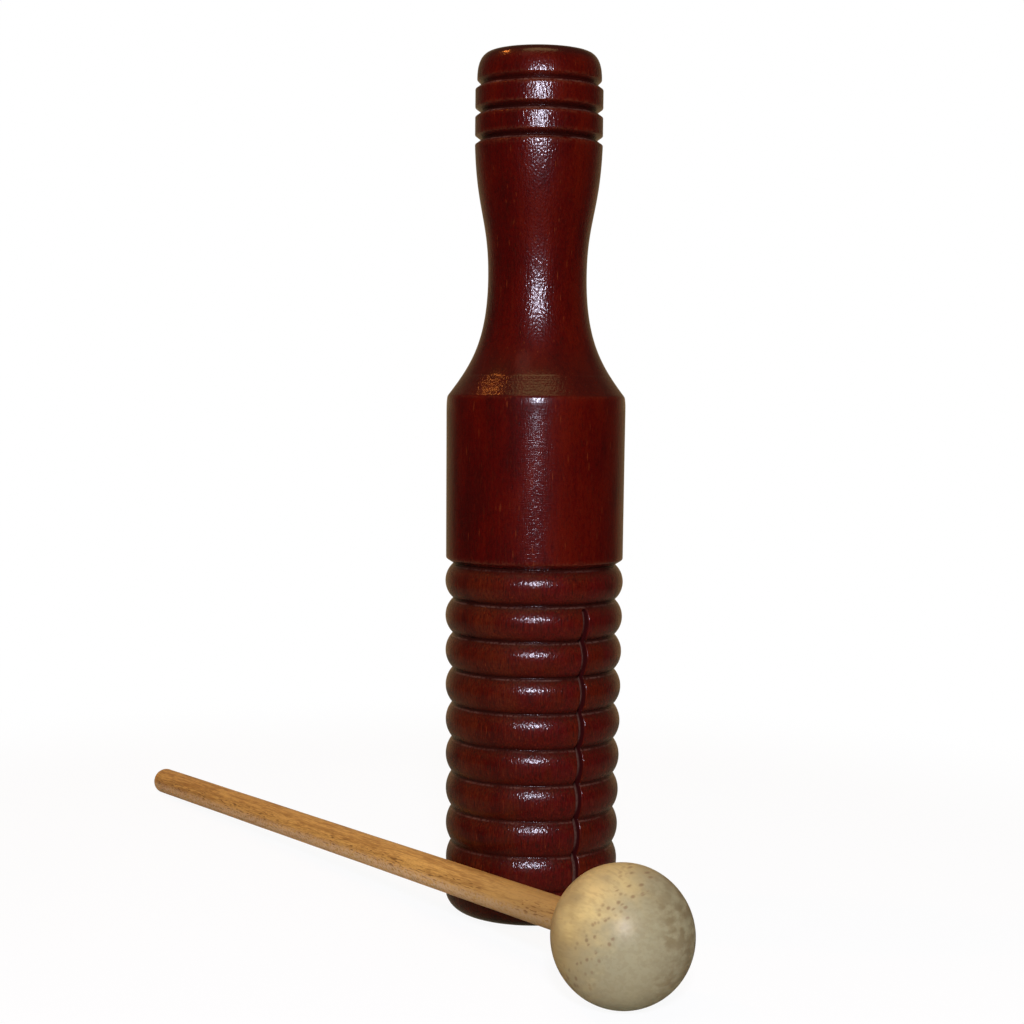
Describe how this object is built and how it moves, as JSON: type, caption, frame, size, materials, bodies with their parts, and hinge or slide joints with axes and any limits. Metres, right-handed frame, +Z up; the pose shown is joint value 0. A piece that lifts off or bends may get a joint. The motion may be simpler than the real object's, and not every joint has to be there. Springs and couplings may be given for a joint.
{
  "type": "tone block with mallet",
  "caption": "Turned wooden tone block: grooved handle over a hollow, beaded barrel slit up one side, standing on its open mouth, with a ball-headed wooden mallet lying beside it.",
  "frame": {"origin": "middle of the footprint of the block and its mallet together, on the surface that both rest on", "axes": "+Z up along the block's axis; the slit in the barrel faces -Y; the mallet lies along Y on the -X side of the block, its ball towards -Y"},
  "size_m": [0.06, 0.254, 0.2],
  "materials": {
    "stained_hardwood": "deep red stain under gloss lacquer",
    "beech": "satin, plain sanded dowel with dark flecks along the grain",
    "pale_hardwood": "satin, sanded and waxed ball with open pores"
  },
  "bodies": {
    "block": {"tone_block_body": "stained_hardwood"},
    "mallet": {"mallet_stick": "beech", "mallet_head": "pale_hardwood"}
  },
  "joints": [
    {"name": "mallet_lift", "type": "slide", "parent": "block", "child": "mallet", "axis": [0, 0, 1], "range_m": [0, 0.21]}
  ]
}
